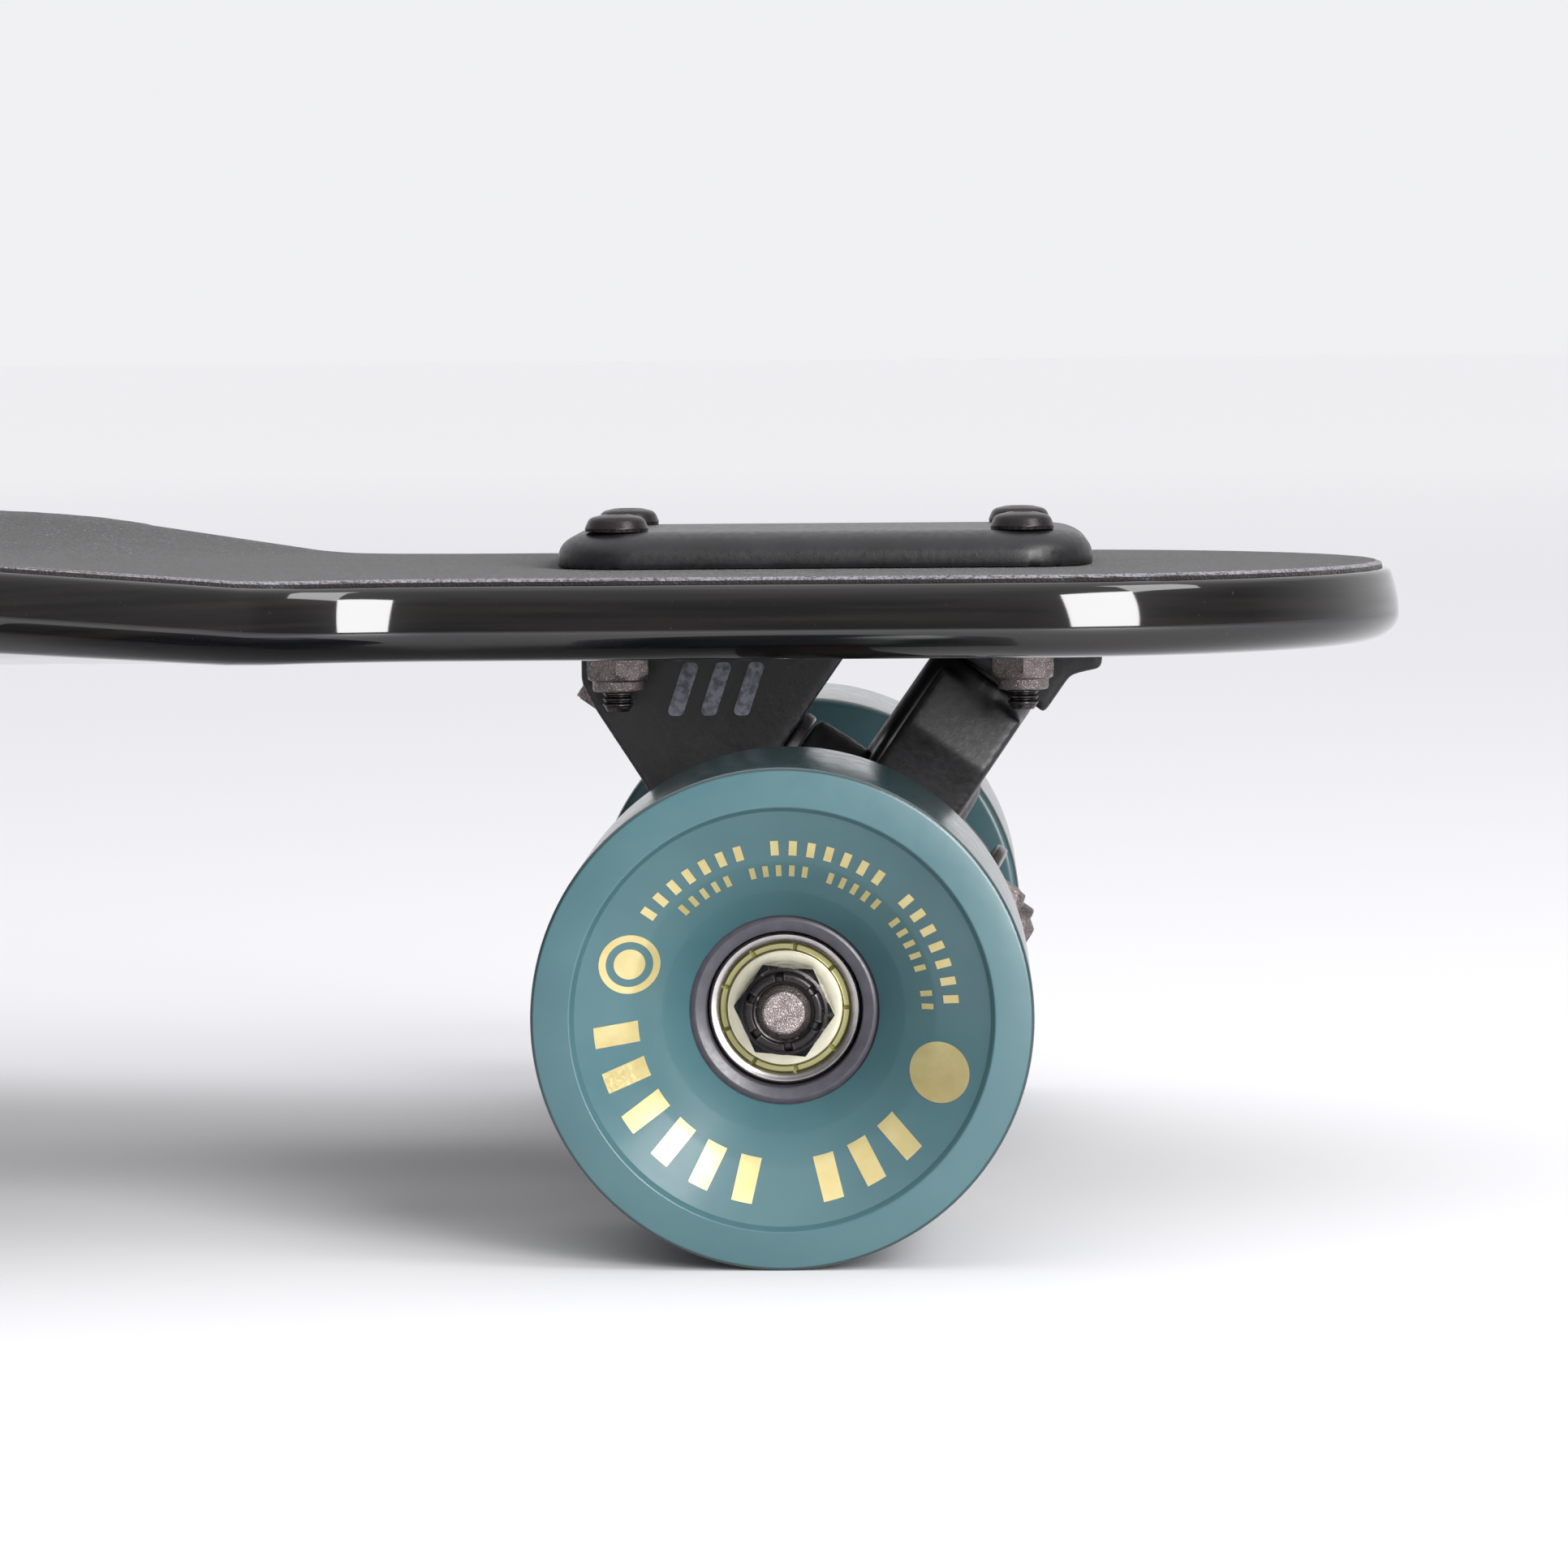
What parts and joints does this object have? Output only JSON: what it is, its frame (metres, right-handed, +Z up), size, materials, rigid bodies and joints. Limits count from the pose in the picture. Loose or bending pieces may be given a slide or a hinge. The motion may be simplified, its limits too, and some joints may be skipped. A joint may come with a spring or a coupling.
{
  "type": "drop-through longboard skateboard",
  "caption": "Drop-through longboard skateboard with a cut-away deck, leaning reverse-kingpin trucks and wide soft wheels that roll on ball bearings.",
  "frame": {"origin": "on the ground, below the middle of the board", "axes": "+X to the nose, along the board; +Y to the board's left; +Z up"},
  "size_m": [1, 0.254, 0.1059],
  "materials": {
    "deck_lacquer": "gloss",
    "griptape": "gritty matte",
    "truck_paint": "satin",
    "urethane": "satin",
    "core_plastic": "satin",
    "bushing_urethane": "satin",
    "bearing_steel": "polished",
    "steel": "zinc plated",
    "black_steel": "black oxide"
  },
  "bodies": {
    "board": {"deck": "deck_lacquer", "griptape": "griptape", "front_baseplate": "truck_paint", "front_pivot_cup": "bushing_urethane", "front_kingpin": "steel", "front_kingpin_nut": "steel", "front_boardside_washer": "steel", "front_boardside_bushing": "bushing_urethane", "front_roadside_washer": "steel", "front_roadside_bushing": "bushing_urethane", "front_bolt_outer_right": "black_steel", "front_lock_nut_outer_right": "steel", "front_bolt_outer_left": "black_steel", "front_lock_nut_outer_left": "steel", "front_bolt_inner_right": "black_steel", "front_lock_nut_inner_right": "steel", "front_bolt_inner_left": "black_steel", "front_lock_nut_inner_left": "steel", "rear_baseplate": "truck_paint", "rear_pivot_cup": "bushing_urethane", "rear_kingpin": "steel", "rear_kingpin_nut": "steel", "rear_boardside_washer": "steel", "rear_boardside_bushing": "bushing_urethane", "rear_roadside_washer": "steel", "rear_roadside_bushing": "bushing_urethane", "rear_bolt_outer_right": "black_steel", "rear_lock_nut_outer_right": "steel", "rear_bolt_outer_left": "black_steel", "rear_lock_nut_outer_left": "steel", "rear_bolt_inner_right": "black_steel", "rear_lock_nut_inner_right": "steel", "rear_bolt_inner_left": "black_steel", "rear_lock_nut_inner_left": "steel"},
    "front_hanger_assembly": {"front_hanger": "truck_paint", "front_axle": "steel", "front_right_axle_nut": "black_steel", "front_left_axle_nut": "black_steel"},
    "front_right_wheel": {"front_right_tyre": "urethane", "front_right_core": "core_plastic", "front_right_outer_bearing": "bearing_steel", "front_right_inner_bearing": "bearing_steel"},
    "front_left_wheel": {"front_left_tyre": "urethane", "front_left_core": "core_plastic", "front_left_outer_bearing": "bearing_steel", "front_left_inner_bearing": "bearing_steel"},
    "rear_hanger_assembly": {"rear_hanger": "truck_paint", "rear_axle": "steel", "rear_right_axle_nut": "black_steel", "rear_left_axle_nut": "black_steel"},
    "rear_right_wheel": {"rear_right_tyre": "urethane", "rear_right_core": "core_plastic", "rear_right_outer_bearing": "bearing_steel", "rear_right_inner_bearing": "bearing_steel"},
    "rear_left_wheel": {"rear_left_tyre": "urethane", "rear_left_core": "core_plastic", "rear_left_outer_bearing": "bearing_steel", "rear_left_inner_bearing": "bearing_steel"}
  },
  "joints": [
    {"name": "front_steer", "type": "hinge", "parent": "board", "child": "front_hanger_assembly", "pos_m": [0.4043, 0, 0.036], "axis": [0.5736, 0, 0.8192], "range_deg": [-15, 15], "stiffness_Nm_per_rad": 40, "deforming": ["front_boardside_bushing", "front_roadside_bushing"]},
    {"name": "rear_steer", "type": "hinge", "parent": "board", "child": "rear_hanger_assembly", "pos_m": [-0.4043, 0, 0.036], "axis": [-0.5736, 0, 0.8192], "range_deg": [-15, 15], "stiffness_Nm_per_rad": 40, "deforming": ["rear_boardside_bushing", "rear_roadside_bushing"]},
    {"name": "front_right_roll", "type": "hinge", "parent": "front_hanger_assembly", "child": "front_right_wheel", "pos_m": [0.4043, -0.097, 0.036], "axis": [0, 1, 0], "continuous": true},
    {"name": "front_left_roll", "type": "hinge", "parent": "front_hanger_assembly", "child": "front_left_wheel", "pos_m": [0.4043, 0.097, 0.036], "axis": [0, 1, 0], "continuous": true},
    {"name": "rear_right_roll", "type": "hinge", "parent": "rear_hanger_assembly", "child": "rear_right_wheel", "pos_m": [-0.4043, -0.097, 0.036], "axis": [0, 1, 0], "continuous": true},
    {"name": "rear_left_roll", "type": "hinge", "parent": "rear_hanger_assembly", "child": "rear_left_wheel", "pos_m": [-0.4043, 0.097, 0.036], "axis": [0, 1, 0], "continuous": true}
  ]
}
